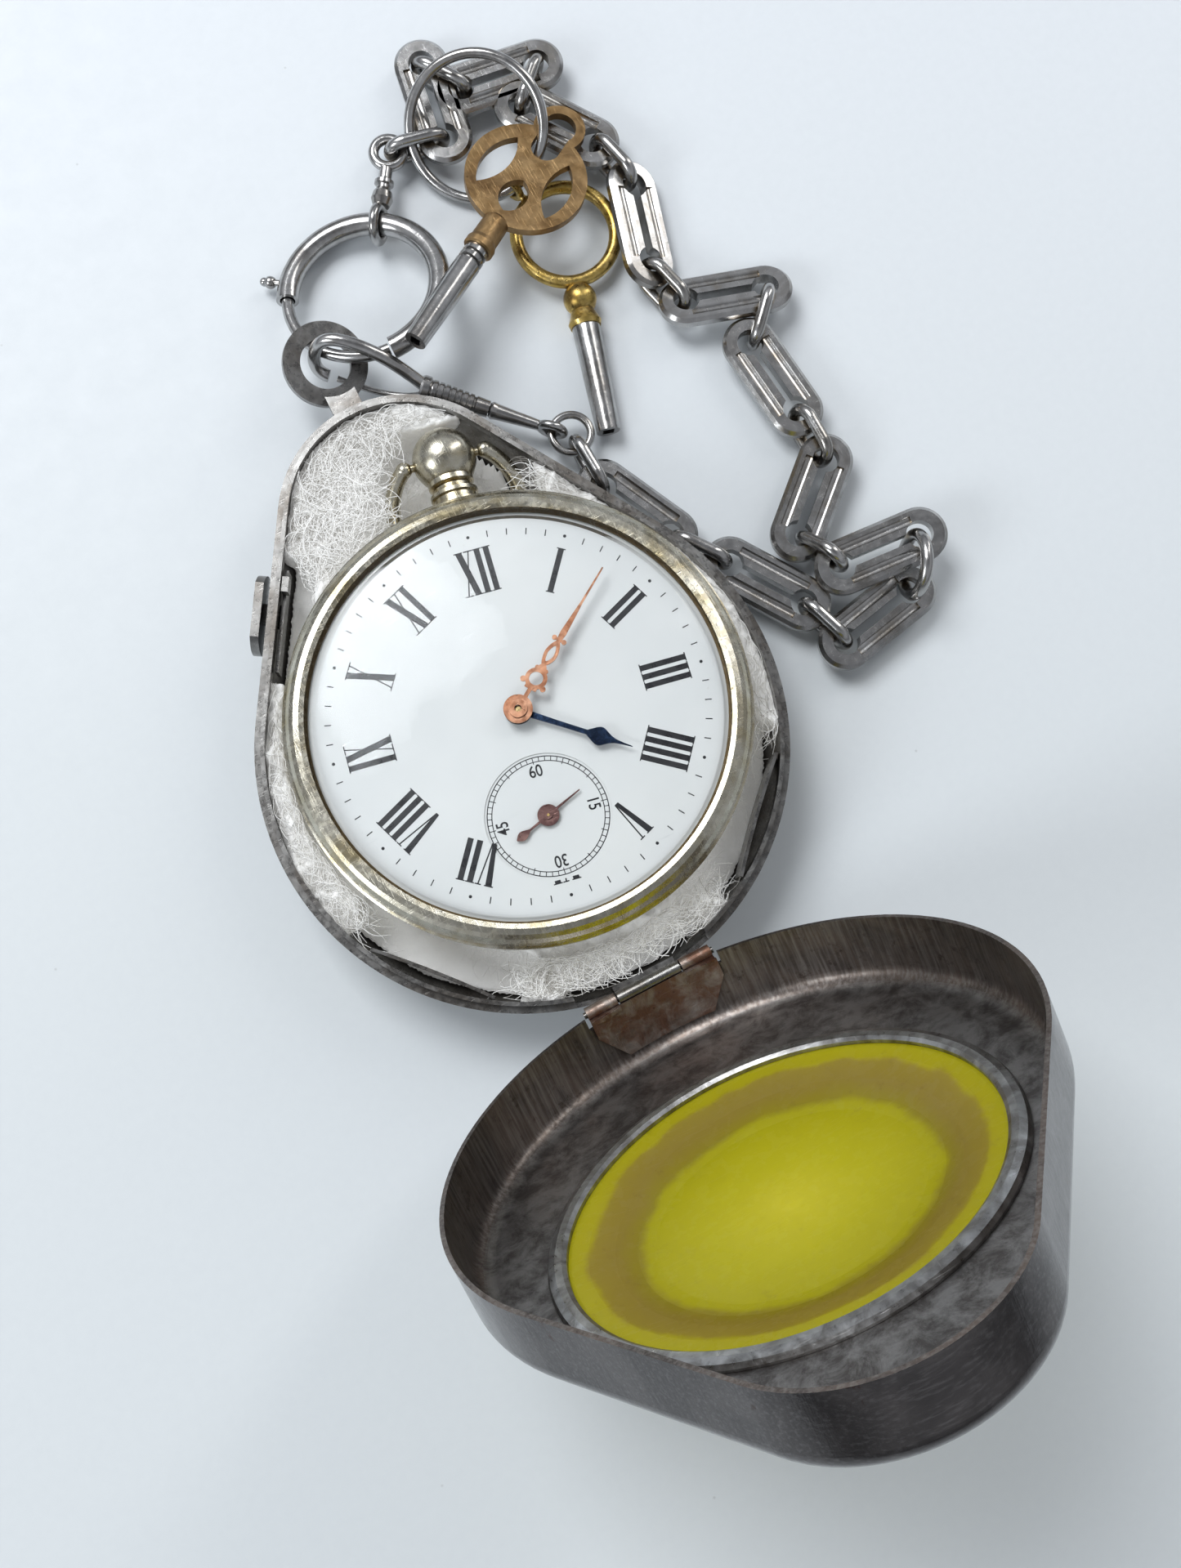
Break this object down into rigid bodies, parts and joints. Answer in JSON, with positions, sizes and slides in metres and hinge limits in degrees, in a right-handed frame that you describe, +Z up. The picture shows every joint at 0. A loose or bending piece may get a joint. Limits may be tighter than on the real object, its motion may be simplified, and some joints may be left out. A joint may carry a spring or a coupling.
{
  "type": "pocket watch in a protective case",
  "caption": "Key-wound open-face pocket watch lying in its hinged steel protective case with cotton lining, celluloid window, link chain, clasp, bolt ring and watch keys.",
  "frame": {"origin": "centre of the round part of the protective case's flat base, on the table", "axes": "+Y towards the case's neck and hanger ring, the lid's hinge on the -Y side, +Z up, away from the table"},
  "size_m": [0.0808, 0.1417, 0.0725],
  "materials": {
    "blued_steel": "blued steel",
    "brown_steel": "tempered brown",
    "celluloid": "yellowed celluloid",
    "chain_steel": "worn steel",
    "cotton": "cotton wool",
    "crystal_glass": "clear glass",
    "enamel": "white enamel",
    "gilt_brass": "gilt brass",
    "key_brass": "dull brass",
    "key_gilt": "worn gilt",
    "lid_steel": "oxidised gunmetal",
    "nickel_steel": "worn nickel plate over steel",
    "polished_steel": "polished steel",
    "rose_gold": "rose gilt",
    "spring_blue": "blued steel",
    "watch_silver": "tarnished nickel silver"
  },
  "bodies": {
    "case": {"case_tray": "nickel_steel", "hanger_ring": "nickel_steel", "tray_knuckle": "nickel_steel", "hinge_pin": "nickel_steel", "retaining_clips": "nickel_steel", "cotton_lining": "cotton", "chain_links_1_to_2": "chain_steel", "chain_link_3": "chain_steel", "chain_link_4": "chain_steel", "chain_link_5": "chain_steel", "chain_link_6": "chain_steel", "chain_link_7": "chain_steel", "chain_links_8_to_11": "chain_steel", "bolt_ring": "chain_steel", "bolt_ring_swivel": "chain_steel", "clasp_body": "chain_steel", "clasp_eye": "chain_steel", "key_ring": "chain_steel", "key_1_head": "key_brass", "key_1_pipe": "chain_steel", "key_2_head": "key_gilt", "key_2_pipe": "chain_steel"},
    "lid": {"lid_shell": "lid_steel", "window_bead_ring": "lid_steel", "celluloid_window": "celluloid", "lid_hinge_leaf": "lid_steel"},
    "catch": {"catch_spring": "nickel_steel", "thumb_tab": "nickel_steel"},
    "watch": {"watch_band": "watch_silver", "pendant_ball": "watch_silver", "back_cover": "watch_silver", "dust_cover": "gilt_brass", "dial": "enamel", "main_plate": "gilt_brass", "barrel_bridge": "gilt_brass", "train_bridge": "gilt_brass", "balance_cock": "gilt_brass", "movement_screws": "polished_steel", "barrel_arbor": "polished_steel", "hairspring": "spring_blue"},
    "bezel_glass": {"bezel": "watch_silver", "crystal": "crystal_glass"},
    "bow": {"watch_bow": "watch_silver"},
    "minute": {"cannon_pinion": "polished_steel", "minute_hand": "rose_gold"},
    "hour": {"hour_wheel": "gilt_brass", "hour_hand": "blued_steel"},
    "motion_wheel": {"minute_wheel": "gilt_brass"},
    "seconds": {"fourth_wheel": "gilt_brass", "seconds_hand": "brown_steel"},
    "third": {"third_wheel": "gilt_brass"},
    "center": {"center_wheel": "gilt_brass"},
    "barrel_drum": {"barrel": "gilt_brass", "mainspring": "polished_steel"},
    "escape": {"escape_wheel": "polished_steel"},
    "pallet": {"pallet_fork": "polished_steel"},
    "balance": {"balance_wheel": "gilt_brass"},
    "click_arm": {"click": "polished_steel"},
    "bolt": {"bolt_slider": "chain_steel"},
    "clasp_arm": {"clasp_lever": "chain_steel"}
  },
  "joints": [
    {"name": "lid_hinge", "type": "hinge", "parent": "case", "child": "lid", "pos_m": [0, -0.028, 0.00935], "axis": [1, 0, 0], "range_deg": [-108.5, 0]},
    {"name": "watch_lift", "type": "slide", "parent": "case", "child": "watch", "axis": [0, 0, 1], "range_m": [0, 0.03]},
    {"name": "catch_push", "type": "slide", "parent": "case", "child": "catch", "axis": [0.8511, -0.525, 0], "range_m": [0, 0.0004], "stiffness_N_per_m": 60},
    {"name": "bezel_hinge", "type": "hinge", "parent": "watch", "child": "bezel_glass", "pos_m": [-0.02322, 0.00718, 0.01143], "axis": [-0.1958, -0.9786, 0.0629], "range_deg": [0, 95]},
    {"name": "bow_swing", "type": "hinge", "parent": "watch", "child": "bow", "pos_m": [0.00646, 0.03148, 0.00813], "axis": [0.9806, -0.1948, 0.0215], "range_deg": [0, 2]},
    {"name": "hand_setting", "type": "hinge", "parent": "watch", "child": "minute", "pos_m": [0.0006, 0.00253, 0.0132], "axis": [-0.0088, 0.0659, 0.9978], "continuous": true},
    {"name": "hour_turn", "type": "hinge", "parent": "watch", "child": "hour", "pos_m": [0.0006, 0.00253, 0.0132], "axis": [-0.0088, 0.0659, 0.9978], "continuous": true},
    {"name": "minute_wheel_turn", "type": "hinge", "parent": "watch", "child": "motion_wheel", "pos_m": [-0.00247, 0.00521, 0.013], "axis": [-0.0088, 0.0659, 0.9978], "continuous": true},
    {"name": "seconds_turn", "type": "hinge", "parent": "watch", "child": "seconds", "pos_m": [-0.00158, -0.00838, 0.0139], "axis": [-0.0088, 0.0659, 0.9978], "continuous": true},
    {"name": "third_turn", "type": "hinge", "parent": "watch", "child": "third", "pos_m": [0.00228, -0.00409, 0.01365], "axis": [-0.0088, 0.0659, 0.9978], "continuous": true},
    {"name": "center_turn", "type": "hinge", "parent": "watch", "child": "center", "pos_m": [0.0006, 0.00253, 0.0132], "axis": [-0.0088, 0.0659, 0.9978], "continuous": true},
    {"name": "barrel_turn", "type": "hinge", "parent": "watch", "child": "barrel_drum", "pos_m": [0.00642, 0.00915, 0.01281], "axis": [-0.0088, 0.0659, 0.9978], "continuous": true},
    {"name": "escape_turn", "type": "hinge", "parent": "watch", "child": "escape", "pos_m": [-0.00615, -0.00908, 0.01391], "axis": [-0.0088, 0.0659, 0.9978], "continuous": true},
    {"name": "pallet_swing", "type": "hinge", "parent": "watch", "child": "pallet", "pos_m": [-0.00806, -0.0061, 0.01369], "axis": [-0.0088, 0.0659, 0.9978], "range_deg": [-2, 2]},
    {"name": "balance_swing", "type": "hinge", "parent": "watch", "child": "balance", "pos_m": [-0.01148, -0.00077, 0.01331], "axis": [-0.0088, 0.0659, 0.9978], "range_deg": [-270, 270]},
    {"name": "click_lift", "type": "hinge", "parent": "watch", "child": "click_arm", "pos_m": [0.01179, 0.01245, 0.01264], "axis": [-0.0088, 0.0659, 0.9978], "range_deg": [-8, 0]},
    {"name": "bolt_draw", "type": "hinge", "parent": "case", "child": "bolt", "pos_m": [0.00775, 0.05445, 0.00405], "axis": [-0.0809, 0.2571, 0.963], "range_deg": [-42, 0]},
    {"name": "clasp_lever_open", "type": "hinge", "parent": "case", "child": "clasp_arm", "pos_m": [0.00843, 0.04076, 0.0037], "axis": [-0.5763, -0.7089, 0.4067], "range_deg": [-1, 0]}
  ],
  "couplings": [
    {"joint": "hour_turn", "follows": "hand_setting", "ratio": 0.083333},
    {"joint": "minute_wheel_turn", "follows": "hand_setting", "ratio": -0.33333},
    {"joint": "third_turn", "follows": "seconds_turn", "ratio": -0.13333},
    {"joint": "center_turn", "follows": "seconds_turn", "ratio": 0.016667},
    {"joint": "barrel_turn", "follows": "seconds_turn", "ratio": -0.0027778},
    {"joint": "escape_turn", "follows": "seconds_turn", "ratio": -10}
  ]
}
